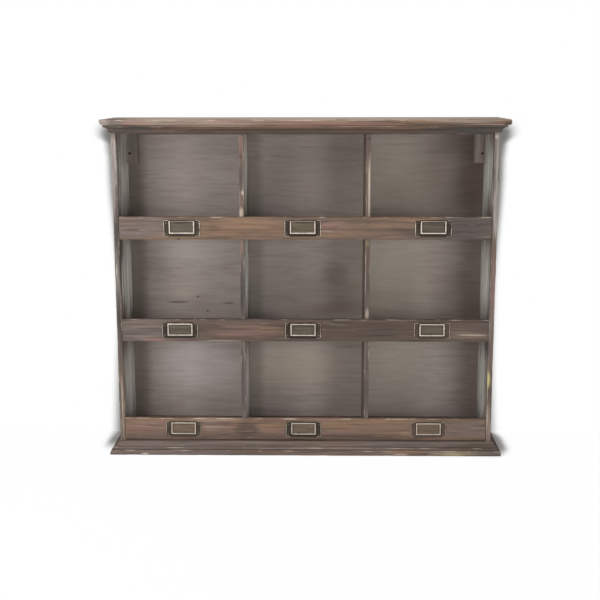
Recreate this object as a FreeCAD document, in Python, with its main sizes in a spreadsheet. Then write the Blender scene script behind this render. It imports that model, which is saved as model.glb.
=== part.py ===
# Wall cubby: three rows of three open compartments behind nailed lips, under a
# coved crown and over a base that mirrors it. Millimetres, +Z up, front faces -Y.
# The origin is under the middle of the cubby, on the surface it stands on.
import FreeCAD, Part
import os
import Sketcher

Vector = FreeCAD.Vector

ROWS = ("bottom", "middle", "top")
COLUMNS = ("left", "centre", "right")
SIDE_SIGNS = {"left": -1, "right": 1}

# The driving sizes: name, value in millimetres, meaning
SIZES = (
    ("case_width", 628, "over the two sides"),
    ("case_depth", 119, "from the wall to the front edges of the sides"),
    ("side_thickness", 9, "board of the two sides"),
    ("shelf_thickness", 8, "board of the shelves and of the floor"),
    ("divider_thickness", 8, "board of the dividers"),
    ("back_thickness", 5, "thin panel at the back"),
    ("row_pitch", 171, "from the underside of one shelf to the next"),
    ("lip_height", 38, "rail across the front of each row"),
    ("lip_thickness", 8, "rail across the front of each row"),
    ("dado_depth", 3, "grooves in the sides that house the shelves"),
    ("divider_groove_depth", 2, "grooves in the shelves that house the dividers"),
    ("back_rabbet_width", 5, "step in the back edges of the sides"),
    ("edge_ease", 0.8, "chamfer on the front edges of the boards"),
    ("board_overhang", 16, "of the cap and the base beyond the case"),
    ("cap_thickness", 9.5, "board on top"),
    ("base_thickness", 9.5, "board underneath"),
    ("cap_edge_bevel", 1.2, "chamfer on the edges of the cap and the base"),
    ("top_rail_height", 15, "strip between the sides under the cap"),
    ("base_rail_height", 13.5, "strip between the sides under the floor"),
    ("rail_thickness", 8, "of both strips"),
    ("cove_radius", 8, "hollow of the moulding"),
    ("moulding_lip_height", 3, "flat beside the cap or the base"),
    ("moulding_foot_height", 1, "flat at the far end of the hollow"),
    ("moulding_foot_depth", 2.5, "how far that flat stands off the case"),
    ("block_width", 18, "hanging block, along the cubby"),
    ("block_depth", 20, "hanging block, from the back panel"),
    ("block_height", 67, "hanging block, down from the cap"),
    ("hanging_hole_diameter", 4.5, "for a wall screw through block and panel"),
    ("hanging_hole_side_inset", 5.5, "from the inner face of the side"),
    ("hanging_hole_height", 16.5, "above the lower end of the block"),
    ("holder_width", 60, "label holder plate"),
    ("holder_height", 27, "label holder plate"),
    ("holder_metal", 0.6, "sheet of the label holder"),
    ("holder_corner_radius", 3, "corners of the plate"),
    ("card_frame_width", 42, "raised frame of the label holder"),
    ("card_frame_foot", 4.5, "plate showing below the raised frame"),
    ("card_frame_rise", 2.4, "front of the raised frame above the wood"),
    ("card_frame_wall", 0.7, "side walls of the raised frame"),
    ("card_frame_bevel", 0.6, "bend along the front of the raised frame"),
    ("window_rim", 2.6, "from the outside of the raised frame to its window"),
    ("pin_side_inset", 4, "pin centres from the ends of the plate"),
    ("pin_end_inset", 4.8, "pin centres from the top and bottom of the plate"),
    ("pin_head_diameter", 2.8, "round head of a label pin"),
    ("pin_head_height", 0.8, "round head of a label pin"),
    ("pin_shank_width", 1.2, "square shank of a label pin"),
    ("pin_length", 6.5, "label pin under its head"),
    ("pin_clearance", 0.1, "between a pin and its hole in the plate, all round"),
    ("brad_length", 25, "nails through the boards"),
    ("short_brad_length", 18, "nails into the rails and through the back panel"),
    ("brad_width", 1.2, "flat wire of the nails"),
    ("brad_thickness", 1, "flat wire of the nails"),
    ("brad_head_width", 2.2, "T head of the nails"),
    ("brad_head_height", 0.8, "T head of the nails"),
    ("lip_brad_drop", 11, "nails in the lips, from the top of the lip"),
    ("holder_shift_bottom_left", 0.5, "each holder from the middle of its compartment"),
    ("holder_shift_bottom_centre", -2.4, "as fixed by hand"),
    ("holder_shift_bottom_right", 2.4, "as fixed by hand"),
    ("holder_shift_middle_left", -2, "as fixed by hand"),
    ("holder_shift_middle_centre", -3, "as fixed by hand"),
    ("holder_shift_middle_right", 5, "as fixed by hand"),
    ("holder_shift_top_left", 4, "as fixed by hand"),
    ("holder_shift_top_centre", -3.5, "as fixed by hand"),
    ("holder_shift_top_right", 4, "as fixed by hand"),
)

# Places of the nails, as shares of the board that they hold
SHELF_BRAD_SHARES = (0.2, 0.8)
CAP_BRAD_SHARES = (0.15, 0.45, 0.75)
BLOCK_BRAD_SHARES = (0.5, 0.85)
LIP_END_BRAD_SHARE = 0.7
RAIL_BRAD_SHARES = (0.17, 0.5, 0.83)
BACK_BRAD_SHARES = (0.08, 0.29, 0.5, 0.71, 0.92)

# What the sizes add up to, as expressions on the sheet of sizes
INNER_WIDTH = "(Sizes.case_width - 2 * Sizes.side_thickness)"
INNER_X = f"({INNER_WIDTH} / 2)"
CASE_X = "(Sizes.case_width / 2)"
BAY_WIDTH = f"(({INNER_WIDTH} - {len(COLUMNS) - 1} * Sizes.divider_thickness) / {len(COLUMNS)})"
WALL_Y = "((Sizes.case_depth + Sizes.board_overhang) / 2)"
FRONT_Y = "((Sizes.board_overhang - Sizes.case_depth) / 2)"
PANEL_Y = f"({WALL_Y} - Sizes.back_thickness)"
SHELF_Y = f"({FRONT_Y} + Sizes.lip_thickness)"
SHELF_DEPTH = "(Sizes.case_depth - Sizes.lip_thickness - Sizes.back_thickness)"
FLOOR_Z = "(Sizes.base_thickness + Sizes.base_rail_height)"
TOP_RAIL_Z = f"({FLOOR_Z} + {len(ROWS)} * Sizes.row_pitch)"
CAP_Z = f"({TOP_RAIL_Z} + Sizes.top_rail_height)"
CASE_HEIGHT = f"({CAP_Z} - Sizes.base_thickness)"
MOULDING_DEPTH = "(Sizes.cove_radius + Sizes.moulding_foot_depth)"
MOULDING_HEIGHT = "(Sizes.moulding_lip_height + Sizes.cove_radius + Sizes.moulding_foot_height)"
CARD_FRAME_X = "((Sizes.holder_width - Sizes.card_frame_width) / 2)"
CARD_FRAME_HEIGHT = "(Sizes.holder_height - Sizes.card_frame_foot)"
HANGING_X = f"({INNER_X} - Sizes.hanging_hole_side_inset)"
BLOCK_Z = f"({CAP_Z} - Sizes.block_height)"
HANGING_Z = f"({BLOCK_Z} + Sizes.hanging_hole_height)"

# Places nearer than this are the same place
SAME_PLACE = 0.001

document = FreeCAD.newDocument("wall_cubby")
nodes = {}
pockets = []


def make_size_sheet():
    """The sheet that every size is bound to."""
    sheet = document.addObject("Spreadsheet::Sheet", "Sizes")
    for row, (name, size, meaning) in enumerate(SIZES, start=1):
        sheet.set(f"A{row}", name)
        sheet.set(f"B{row}", str(size))
        sheet.set(f"C{row}", meaning)
        sheet.setAlias(f"B{row}", name)
    document.recompute()
    return sheet


sizes = make_size_sheet()


def value(expression):
    """The number that an expression on the sheet comes to."""
    return float(sizes.evalExpression(str(expression)))


def shelf_z(row):
    """Underside of the shelf or floor under a row."""
    return f"({FLOOR_Z} + {row} * Sizes.row_pitch)"


def divider_x(column):
    """Left face of the divider on the right of a column."""
    return f"({column} * Sizes.divider_thickness + {column + 1} * {BAY_WIDTH} - {INNER_X})"


def bay_centre_x(column):
    """Middle of a column of compartments."""
    return f"({column} * ({BAY_WIDTH} + Sizes.divider_thickness) + {BAY_WIDTH} / 2 - {INNER_X})"


# Sketches and features

def new_body(label, place):
    """A body at a place given by three expressions."""
    body = document.addObject("PartDesign::Body", label)
    body.Label = label
    for axis, expression in zip("xyz", place):
        body.setExpression(f"Placement.Base.{axis}", expression)
    return body


def new_sketch(body, name, plane, offset=None):
    """A sketch on one of the body's own origin planes."""
    sketch = body.newObject("Sketcher::SketchObject", name)
    for feature in body.Origin.OriginFeatures:
        if feature.Role == plane:
            sketch.AttachmentSupport = (feature, [""])
    sketch.MapMode = "FlatFace"
    if offset:
        sketch.setExpression("AttachmentOffset.Base.z", offset)
    return sketch


def bind(sketch, index, name, expression):
    """Names a constraint and ties it to the sheet."""
    sketch.renameConstraint(index, name)
    sketch.setExpression(f"Constraints.{name}", expression)


def pin_point(sketch, side, end, point, name):
    """Holds one end of a side at a point given by two expressions."""
    axes = (("x", "DistanceX", -2), ("y", "DistanceY", -1))
    for (axis, kind, zero_line), expression in zip(axes, point):
        if expression == "0":
            sketch.addConstraint(Sketcher.Constraint("PointOnObject", side, end, zero_line))
            continue
        index = sketch.addConstraint(
            Sketcher.Constraint(kind, -1, 1, side, end, value(expression))
        )
        bind(sketch, index, f"{name}_{axis}", expression)


def draw_outline(sketch, points, arcs=None, name="p"):
    """Closes a loop of lines through the points. arcs gives, for the number of the
    side that leaves a point, the arc's centre, its radius and whether it turns left."""
    arcs = arcs or {}
    corners = [Vector(value(x), value(y), 0) for x, y in points]
    sides = []
    for number, start in enumerate(corners):
        finish = corners[(number + 1) % len(corners)]
        if number not in arcs:
            side = sketch.addGeometry(Part.LineSegment(start, finish), False)
            sides.append((side, 1, 2))
            continue
        centre, radius, turns_left = arcs[number]
        middle = Vector(value(centre[0]), value(centre[1]), 0)
        first, last = (start, finish) if turns_left else (finish, start)
        circle = Part.Circle(middle, Vector(0, 0, 1), value(radius))
        arc = Part.ArcOfCircle(circle, circle.parameter(first), circle.parameter(last))
        side = sketch.addGeometry(arc, False)
        sides.append((side, 1, 2) if turns_left else (side, 2, 1))
    for number, (side, start_end, finish_end) in enumerate(sides):
        following, next_start, _ = sides[(number + 1) % len(sides)]
        sketch.addConstraint(
            Sketcher.Constraint("Coincident", side, finish_end, following, next_start)
        )
        pin_point(sketch, side, start_end, points[number], f"{name}{number}")
        if number in arcs:
            radius = arcs[number][1]
            index = sketch.addConstraint(Sketcher.Constraint("Radius", side, value(radius)))
            bind(sketch, index, f"{name}{number}_radius", radius)


def draw_rectangle(sketch, left, low, width, height, name="p"):
    """A rectangle from its lower left corner."""
    right = width if left == "0" else f"({left} + {width})"
    high = height if low == "0" else f"({low} + {height})"
    draw_outline(sketch, ((left, low), (right, low), (right, high), (left, high)), name=name)


def draw_circle(sketch, x, y, diameter, name):
    """A round hole by its centre."""
    middle = Vector(value(x), value(y), 0)
    circle = sketch.addGeometry(Part.Circle(middle, Vector(0, 0, 1), value(diameter) / 2), False)
    pin_point(sketch, circle, 3, (x, y), name)
    index = sketch.addConstraint(Sketcher.Constraint("Diameter", circle, value(diameter)))
    bind(sketch, index, f"{name}_diameter", diameter)


def pad(body, sketch, length, backwards=False):
    """Thickens a sketch."""
    feature = body.newObject("PartDesign::Pad", "pad")
    feature.Profile = sketch
    feature.setExpression("Length", length)
    feature.Reversed = backwards
    sketch.Visibility = False
    return feature


def pocket(body, sketch, depth=None, along_normal=True):
    """Cuts a sketch to a depth, or right through where no depth is given."""
    feature = body.newObject("PartDesign::Pocket", "pocket")
    feature.Profile = sketch
    if depth:
        feature.setExpression("Length", depth)
    else:
        feature.Type = "ThroughAll"
    feature.Reversed = along_normal
    sketch.Visibility = False
    pockets.append(feature)
    return feature


def edges_where(feature, keep):
    """Names of the edges whose two ends pass a test, in the body's own frame."""
    document.recompute()
    names = []
    for number, edge in enumerate(feature.Shape.Edges, start=1):
        ends = [vertex.Point for vertex in edge.Vertexes]
        if keep(ends):
            names.append(f"Edge{number}")
    return names


def same(place, other):
    """Whether two places along an axis are one."""
    return abs(place - other) < SAME_PLACE


def along_x(ends):
    """Whether an edge runs from left to right."""
    return not same(ends[0].x, ends[-1].x)


def along_y(ends):
    """Whether an edge runs from front to back."""
    return not same(ends[0].y, ends[-1].y)


def along_z(ends):
    """Whether an edge runs up."""
    return not same(ends[0].z, ends[-1].z)


def all_at_y(ends, y):
    """Whether an edge lies in the upright plane at y."""
    return all(same(end.y, y) for end in ends)


def soften(body, feature, kind, names, size):
    """A chamfer or a fillet on named edges."""
    softened = body.newObject(f"PartDesign::{kind}", kind.lower())
    softened.Base = (feature, names)
    softened.setExpression("Size" if kind == "Chamfer" else "Radius", size)
    return softened


def make_board(label, place, size):
    """A plain board, low corner at its place."""
    width, depth, height = size
    body = new_body(label, place)
    sketch = new_sketch(body, "outline", "XY_Plane")
    draw_rectangle(sketch, "0", "0", width, depth)
    return body, pad(body, sketch, height)


# Fasteners, each modelled once with its head at the origin, pointing down

def make_brad(label, length):
    """A nail of flat wire with a T head, flush with the wood."""
    body = new_body(label, ("0", "0", f"-{length}"))
    shank = new_sketch(body, "shank", "XY_Plane")
    draw_rectangle(shank, "0", "0", "Sizes.brad_width", "Sizes.brad_thickness")
    pad(body, shank, length)
    head = new_sketch(body, "head", "XY_Plane", f"({length} - Sizes.brad_head_height)")
    draw_rectangle(head, "0", "0", "Sizes.brad_head_width", "Sizes.brad_thickness")
    pad(body, head, "Sizes.brad_head_height")
    return body


def make_pin(label):
    """A tack with a square shank and a round head, flat at the origin."""
    length = "Sizes.pin_length"
    width = "Sizes.pin_shank_width"
    corner = f"(-{width} / 2)"
    body = new_body(label, ("0", "0", f"-{length}"))
    shank = new_sketch(body, "shank", "XY_Plane")
    draw_rectangle(shank, corner, corner, width, width)
    pad(body, shank, length)
    head = new_sketch(body, "head", "XY_Plane", length)
    draw_circle(head, "0", "0", "Sizes.pin_head_diameter", "rim")
    pad(body, head, "Sizes.pin_head_height")
    return body


def drive(label, fastener, spots):
    """Copies of a fastener at its spots, heads turned outwards, as one node."""
    copies = []
    for place, outward in spots:
        spot = Vector(*[value(expression) for expression in place])
        turn = FreeCAD.Rotation(Vector(0, 0, 1), Vector(*outward))
        copy = fastener.Shape.copy()
        copy.Placement = FreeCAD.Placement(spot, turn).multiply(fastener.Placement)
        copies.append(copy)
    group = document.addObject("Part::Feature", label)
    group.Label = label
    group.Shape = Part.makeCompound(copies)
    nodes[label] = group
    return group


def side_brad_spots():
    """Through the sides, into the ends of what they hold."""
    heights = [(f"({FRONT_Y} + Sizes.rail_thickness / 2)", f"({TOP_RAIL_Z} + Sizes.top_rail_height / 2)")]
    heights.append(
        (f"({FRONT_Y} + Sizes.rail_thickness / 2)", "(Sizes.base_thickness + Sizes.base_rail_height / 2)")
    )
    for share in BLOCK_BRAD_SHARES:
        heights.append((f"({PANEL_Y} - Sizes.block_depth / 2)", f"({BLOCK_Z} + {share} * Sizes.block_height)"))
    for row in range(len(ROWS)):
        lip_centre = f"({FRONT_Y} + Sizes.lip_thickness / 2)"
        heights.append((lip_centre, f"({shelf_z(row)} + {LIP_END_BRAD_SHARE} * Sizes.lip_height)"))
        for share in SHELF_BRAD_SHARES:
            heights.append(
                (f"({SHELF_Y} + {share} * {SHELF_DEPTH})", f"({shelf_z(row)} + Sizes.shelf_thickness / 2)")
            )
    return [((f"({sign} * {CASE_X})", y, z), (sign, 0, 0)) for sign in (-1, 1) for y, z in heights]


def board_brad_spots(z, up):
    """Through the cap or the base, into the ends of the sides."""
    spots = []
    for sign in (-1, 1):
        for share in CAP_BRAD_SHARES:
            x = f"({sign} * ({INNER_X} + Sizes.side_thickness / 2))"
            spots.append(((x, f"({FRONT_Y} + {share} * Sizes.case_depth)", z), (0, 0, up)))
    return spots


def rail_brad_spots(z, up):
    """Through the cap or the base, into the rail behind the moulding."""
    y = f"({FRONT_Y} + Sizes.rail_thickness / 2)"
    return [((f"({share} * {INNER_WIDTH} - {INNER_X})", y, z), (0, 0, up)) for share in RAIL_BRAD_SHARES]


def back_brad_spots():
    """Through the back panel, into the sides and the shelves."""
    spots = []
    for sign in (-1, 1):
        for share in BACK_BRAD_SHARES:
            x = f"({sign} * ({INNER_X} + Sizes.back_rabbet_width / 2))"
            spots.append(((x, WALL_Y, f"(Sizes.base_thickness + {share} * {CASE_HEIGHT})"), (0, 1, 0)))
    for row in range(len(ROWS)):
        for column in range(len(COLUMNS)):
            z = f"({shelf_z(row)} + Sizes.shelf_thickness / 2)"
            spots.append(((bay_centre_x(column), WALL_Y, z), (0, 1, 0)))
    return spots


def lip_brad_spots():
    """Through the lips, into the front edges of the dividers."""
    spots = []
    for row in range(len(ROWS)):
        for column in range(len(COLUMNS) - 1):
            x = f"({divider_x(column)} + Sizes.divider_thickness / 2)"
            z = f"({shelf_z(row)} + Sizes.lip_height - Sizes.lip_brad_drop)"
            spots.append(((x, FRONT_Y, z), (0, -1, 0)))
    return spots


def holder_x(row, column):
    """Middle of a label holder."""
    return f"({bay_centre_x(column)} + Sizes.holder_shift_{ROWS[row]}_{COLUMNS[column]})"


def holder_z(row):
    """Lower edge of the label holders of a row, centred on the lip."""
    return f"({shelf_z(row)} + (Sizes.lip_height - Sizes.holder_height) / 2)"


def label_pin_spots():
    """The four corners of each label holder."""
    spots = []
    for row in range(len(ROWS)):
        for column in range(len(COLUMNS)):
            for sign in (-1, 1):
                x = f"({holder_x(row, column)} + {sign} * (Sizes.holder_width / 2 - Sizes.pin_side_inset))"
                for rise in ("Sizes.pin_end_inset", "(Sizes.holder_height - Sizes.pin_end_inset)"):
                    z = f"({holder_z(row)} + {rise})"
                    spots.append(((x, f"({FRONT_Y} - Sizes.holder_metal)", z), (0, -1, 0)))
    return spots


long_brad = make_brad("long_brad", "Sizes.brad_length")
short_brad = make_brad("short_brad", "Sizes.short_brad_length")
label_pin = make_pin("label_pin")
document.recompute()

side_brads = drive("side_brads", long_brad, side_brad_spots())
lip_brads = drive("lip_brads", long_brad, lip_brad_spots())
back_brads = drive("back_brads", short_brad, back_brad_spots())
CAP_TOP = f"({CAP_Z} + Sizes.cap_thickness)"
cap_brads = drive("cap_brads", long_brad, board_brad_spots(CAP_TOP, 1))
base_brads = drive("base_brads", long_brad, board_brad_spots("0", -1))
cap_rail_brads = drive("cap_rail_brads", short_brad, rail_brad_spots(CAP_TOP, 1))
base_rail_brads = drive("base_rail_brads", short_brad, rail_brad_spots("0", -1))
label_pins = drive("label_pins", label_pin, label_pin_spots())


def finish_node(label, blank, fasteners=()):
    """Registers a piece, cut where its fasteners pass through it."""
    if not fasteners:
        nodes[label] = blank
        return
    blank.Label = f"{label}_blank"
    nailed = document.addObject("Part::Cut", f"{label}_nailed")
    nailed.Base = blank
    if len(fasteners) == 1:
        nailed.Tool = fasteners[0]
    else:
        together = document.addObject("Part::Compound", f"{label}_fasteners")
        together.Links = list(fasteners)
        nailed.Tool = together
    nailed.Label = label
    nodes[label] = nailed


# Cap, base and their mouldings

def make_overhanging_board(label, z, thickness, fasteners):
    """The cap or the base: its edges taken off in front and at both ends."""
    depth = "(Sizes.case_depth + Sizes.board_overhang)"
    place = (f"-({CASE_X} + Sizes.board_overhang)", f"({FRONT_Y} - Sizes.board_overhang)", z)
    size = ("(Sizes.case_width + 2 * Sizes.board_overhang)", depth, thickness)
    body, board = make_board(f"{label}_board_blank", place, size)
    names = edges_where(board, lambda ends: not all_at_y(ends, value(depth)))
    soften(body, board, "Chamfer", names, "Sizes.cap_edge_bevel")
    finish_node(label, body, fasteners)


def draw_moulding(sketch, case_side_high, lip_on_top):
    """Section of the moulding: a flat lip, a quarter round hollow and a foot."""
    hollow = "Sizes.cove_radius"
    foot_height = "Sizes.moulding_foot_height"
    lip_height = "Sizes.moulding_lip_height"
    if case_side_high:
        outer, foot, case = "0", hollow, MOULDING_DEPTH
    else:
        outer, foot, case = MOULDING_DEPTH, "Sizes.moulding_foot_depth", "0"
    if lip_on_top:
        far, foot_end, lip_end, near = "0", foot_height, f"({foot_height} + {hollow})", MOULDING_HEIGHT
    else:
        far, foot_end, lip_end, near = MOULDING_HEIGHT, f"({lip_height} + {hollow})", lip_height, "0"
    points = ((case, far), (case, near), (outer, near), (outer, lip_end), (foot, foot_end), (foot, far))
    arc = ((outer, foot_end), hollow, case_side_high != lip_on_top)
    draw_outline(sketch, points, {3: arc})


def make_front_moulding(label, z, lip_on_top):
    """Across the front, mitred at both ends."""
    length = f"(Sizes.case_width + 2 * {MOULDING_DEPTH})"
    heel = f"(Sizes.case_width + {MOULDING_DEPTH})"
    body = new_body(label, (f"-({CASE_X} + {MOULDING_DEPTH})", f"({FRONT_Y} - {MOULDING_DEPTH})", z))
    section = new_sketch(body, "section", "YZ_Plane")
    draw_moulding(section, True, lip_on_top)
    pad(body, section, length)
    mitres = new_sketch(body, "mitres", "XY_Plane")
    deep = MOULDING_DEPTH
    draw_outline(mitres, (("0", "0"), (deep, deep), ("0", deep)), name="left")
    draw_outline(mitres, ((length, "0"), (length, deep), (heel, deep)), name="right")
    pocket(body, mitres)
    finish_node(label, body)


def make_side_moulding(label, z, lip_on_top, side):
    """Back along one side, mitred in front and square at the wall."""
    x = f"-({CASE_X} + {MOULDING_DEPTH})" if side == "left" else CASE_X
    body = new_body(label, (x, f"({FRONT_Y} - {MOULDING_DEPTH})", z))
    section = new_sketch(body, "section", "XZ_Plane")
    draw_moulding(section, side == "left", lip_on_top)
    pad(body, section, f"(Sizes.case_depth + {MOULDING_DEPTH})", backwards=True)
    mitre = new_sketch(body, "mitre", "XY_Plane")
    deep = MOULDING_DEPTH
    last = (deep, deep) if side == "left" else ("0", deep)
    draw_outline(mitre, (("0", "0"), (deep, "0"), last))
    pocket(body, mitre)
    finish_node(label, body)


def make_crown_and_base():
    """What stands out above and below the case."""
    make_overhanging_board("cap_board", CAP_Z, "Sizes.cap_thickness", (cap_brads, cap_rail_brads))
    make_overhanging_board("base_board", "0", "Sizes.base_thickness", (base_brads, base_rail_brads))
    places = (("crown", f"({CAP_Z} - {MOULDING_HEIGHT})", True), ("base", "Sizes.base_thickness", False))
    for name, z, lip_on_top in places:
        make_front_moulding(f"{name}_moulding_front", z, lip_on_top)
        make_side_moulding(f"{name}_moulding_left", z, lip_on_top, "left")
        make_side_moulding(f"{name}_moulding_right", z, lip_on_top, "right")


# The case

def make_side(side):
    """Grooved for the shelves, stepped for the back panel, eased in front."""
    left = side == "left"
    place = (f"-{CASE_X}" if left else INNER_X, FRONT_Y, "Sizes.base_thickness")
    size = ("Sizes.side_thickness", "Sizes.case_depth", CASE_HEIGHT)
    body, board = make_board(f"{side}_side_board", place, size)
    front = edges_where(board, lambda ends: along_z(ends) and all_at_y(ends, 0))
    soften(body, board, "Chamfer", front, "Sizes.edge_ease")
    rabbet = new_sketch(body, "back_rabbet", "XY_Plane")
    rabbet_x = "(Sizes.side_thickness - Sizes.back_rabbet_width)" if left else "0"
    rabbet_y = "(Sizes.case_depth - Sizes.back_thickness)"
    draw_rectangle(rabbet, rabbet_x, rabbet_y, "Sizes.back_rabbet_width", "Sizes.back_thickness")
    pocket(body, rabbet)
    dadoes = new_sketch(body, "shelf_dadoes", "YZ_Plane", "Sizes.side_thickness" if left else None)
    for row in range(len(ROWS)):
        z = f"({shelf_z(row)} - Sizes.base_thickness)"
        draw_rectangle(dadoes, "Sizes.lip_thickness", z, SHELF_DEPTH, "Sizes.shelf_thickness", f"row{row}p")
    pocket(body, dadoes, "Sizes.dado_depth", along_normal=not left)
    finish_node(f"{side}_side", body, (side_brads, cap_brads, base_brads, back_brads))


def make_shelf(label, row):
    """A floor behind its lip, housed in the sides and grooved for the dividers."""
    place = (f"-({INNER_X} + Sizes.dado_depth)", SHELF_Y, shelf_z(row))
    size = (f"({INNER_WIDTH} + 2 * Sizes.dado_depth)", SHELF_DEPTH, "Sizes.shelf_thickness")
    body, _ = make_board(f"{label}_board", place, size)
    faces = [("upper_grooves", "Sizes.shelf_thickness", False)]
    if row:
        faces.append(("lower_grooves", None, True))
    for name, offset, upwards in faces:
        grooves = new_sketch(body, name, "XY_Plane", offset)
        for column in range(len(COLUMNS) - 1):
            x = f"({divider_x(column)} + {INNER_X} + Sizes.dado_depth)"
            draw_rectangle(grooves, x, "0", "Sizes.divider_thickness", SHELF_DEPTH, f"column{column}p")
        pocket(body, grooves, "Sizes.divider_groove_depth", along_normal=upwards)
    finish_node(label, body, (side_brads, back_brads))


def make_divider(label, row, column):
    """Grooved into the shelves, notched round the lip below and, on top, the rail."""
    seat = "(Sizes.shelf_thickness - Sizes.divider_groove_depth)"
    lip_back = "Sizes.lip_thickness"
    back = f"({lip_back} + {SHELF_DEPTH})"
    lip_top = f"(Sizes.lip_height - {seat})"
    ceiling = f"(Sizes.row_pitch - {seat})"
    if row < len(ROWS) - 1:
        high = f"({ceiling} + Sizes.divider_groove_depth)"
        shoulder = lip_back
    else:
        high = f"({ceiling} + Sizes.top_rail_height)"
        shoulder = "Sizes.rail_thickness"
    body = new_body(f"{label}_board", (divider_x(column), FRONT_Y, f"({shelf_z(row)} + {seat})"))
    sketch = new_sketch(body, "outline", "YZ_Plane")
    points = [(lip_back, "0"), (back, "0"), (back, high), (shoulder, high)]
    points += [(shoulder, ceiling), ("0", ceiling), ("0", lip_top), (lip_back, lip_top)]
    draw_outline(sketch, points)
    board = pad(body, sketch, "Sizes.divider_thickness")
    front = edges_where(board, lambda ends: along_z(ends) and all_at_y(ends, 0))
    soften(body, board, "Chamfer", front, "Sizes.edge_ease")
    finish_node(label, body, (lip_brads,))


def make_strip(label, z, thickness, height, fasteners):
    """A strip between the sides, flush with their front edges."""
    body, board = make_board(f"{label}_strip", (f"-{INNER_X}", FRONT_Y, z), (INNER_WIDTH, thickness, height))
    front = edges_where(board, lambda ends: along_x(ends) and all_at_y(ends, 0))
    soften(body, board, "Chamfer", front, "Sizes.edge_ease")
    finish_node(label, body, fasteners)


def make_back_panel():
    """Thin panel in the rabbets of the sides, bored for the wall screws."""
    place = (f"-({INNER_X} + Sizes.back_rabbet_width)", PANEL_Y, "Sizes.base_thickness")
    size = (f"({INNER_WIDTH} + 2 * Sizes.back_rabbet_width)", "Sizes.back_thickness", CASE_HEIGHT)
    body, _ = make_board("back_panel_sheet", place, size)
    holes = new_sketch(body, "hanging_holes", "XZ_Plane")
    for side, sign in SIDE_SIGNS.items():
        x = f"({INNER_X} + Sizes.back_rabbet_width + {sign} * {HANGING_X})"
        z = f"({HANGING_Z} - Sizes.base_thickness)"
        draw_circle(holes, x, z, "Sizes.hanging_hole_diameter", side)
    pocket(body, holes, along_normal=False)
    finish_node("back_panel", body, (back_brads,))


def make_hanging_block(side):
    """In the upper back corner, bored for a wall screw."""
    left = side == "left"
    x = f"-{INNER_X}" if left else f"({INNER_X} - Sizes.block_width)"
    inset = "Sizes.hanging_hole_side_inset"
    place = (x, f"({PANEL_Y} - Sizes.block_depth)", BLOCK_Z)
    size = ("Sizes.block_width", "Sizes.block_depth", "Sizes.block_height")
    body, _ = make_board(f"hanging_block_{side}_piece", place, size)
    hole = new_sketch(body, "hanging_hole", "XZ_Plane")
    hole_x = inset if left else f"(Sizes.block_width - {inset})"
    draw_circle(hole, hole_x, "Sizes.hanging_hole_height", "Sizes.hanging_hole_diameter", "hole")
    pocket(body, hole, along_normal=False)
    finish_node(f"hanging_block_{side}", body, (side_brads,))


def make_case():
    """Sides, shelves, dividers, strips, back and blocks."""
    make_side("left")
    make_side("right")
    for row, label in enumerate(("bottom_board", "lower_shelf", "upper_shelf")):
        make_shelf(label, row)
    for row, row_name in enumerate(ROWS):
        for column, side in enumerate(SIDE_SIGNS):
            make_divider(f"divider_{row_name}_{side}", row, column)
        fasteners = (side_brads, lip_brads, label_pins)
        make_strip(f"lip_{row_name}", shelf_z(row), "Sizes.lip_thickness", "Sizes.lip_height", fasteners)
    rail = "Sizes.rail_thickness"
    make_strip("top_rail", TOP_RAIL_Z, rail, "Sizes.top_rail_height", (side_brads, cap_rail_brads))
    low_fasteners = (side_brads, base_rail_brads)
    make_strip("base_rail", "Sizes.base_thickness", rail, "Sizes.base_rail_height", low_fasteners)
    make_back_panel()
    make_hanging_block("left")
    make_hanging_block("right")


# The label holders

def make_label_holder(row, column):
    """One stamped sheet: a flat plate, and a raised frame that a card slips behind
    from above, with a window to read it through."""
    label = f"label_holder_{ROWS[row]}_{COLUMNS[column]}"
    body = new_body(label, (f"({holder_x(row, column)} - Sizes.holder_width / 2)", FRONT_Y, holder_z(row)))
    outline = new_sketch(body, "plate", "XZ_Plane")
    draw_rectangle(outline, "0", "0", "Sizes.holder_width", "Sizes.holder_height")
    plate = pad(body, outline, "Sizes.holder_metal")
    corners = edges_where(plate, along_y)
    soften(body, plate, "Fillet", corners, "Sizes.holder_corner_radius")
    foot = "Sizes.card_frame_foot"
    raised = new_sketch(body, "card_frame", "XZ_Plane")
    draw_rectangle(raised, CARD_FRAME_X, foot, "Sizes.card_frame_width", CARD_FRAME_HEIGHT)
    frame = pad(body, raised, "Sizes.card_frame_rise")
    front = -value("Sizes.card_frame_rise")
    bends = edges_where(frame, lambda ends: all_at_y(ends, front))
    soften(body, frame, "Chamfer", bends, "Sizes.card_frame_bevel")
    wall = "Sizes.card_frame_wall"
    slot = new_sketch(body, "card_slot", "XZ_Plane")
    draw_rectangle(slot, f"({CARD_FRAME_X} + {wall})", f"({foot} + {wall})",
                   f"(Sizes.card_frame_width - 2 * {wall})", f"({CARD_FRAME_HEIGHT} - {wall})")
    pocket(body, slot, "(Sizes.card_frame_rise - Sizes.holder_metal)")
    rim = "Sizes.window_rim"
    window = new_sketch(body, "window", "XZ_Plane")
    draw_rectangle(window, f"({CARD_FRAME_X} + {rim})", f"({foot} + {rim})",
                   f"(Sizes.card_frame_width - 2 * {rim})", f"({CARD_FRAME_HEIGHT} - 2 * {rim})")
    pocket(body, window)
    holes = new_sketch(body, "pin_holes", "XZ_Plane")
    across = {"left": "Sizes.pin_side_inset", "right": "(Sizes.holder_width - Sizes.pin_side_inset)"}
    up = {"low": "Sizes.pin_end_inset", "high": "(Sizes.holder_height - Sizes.pin_end_inset)"}
    width = "(Sizes.pin_shank_width + 2 * Sizes.pin_clearance)"
    for side, x in across.items():
        for end, z in up.items():
            draw_rectangle(holes, f"({x} - {width} / 2)", f"({z} - {width} / 2)", width, width, side + end)
    pocket(body, holes)
    finish_node(label, body)


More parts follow.
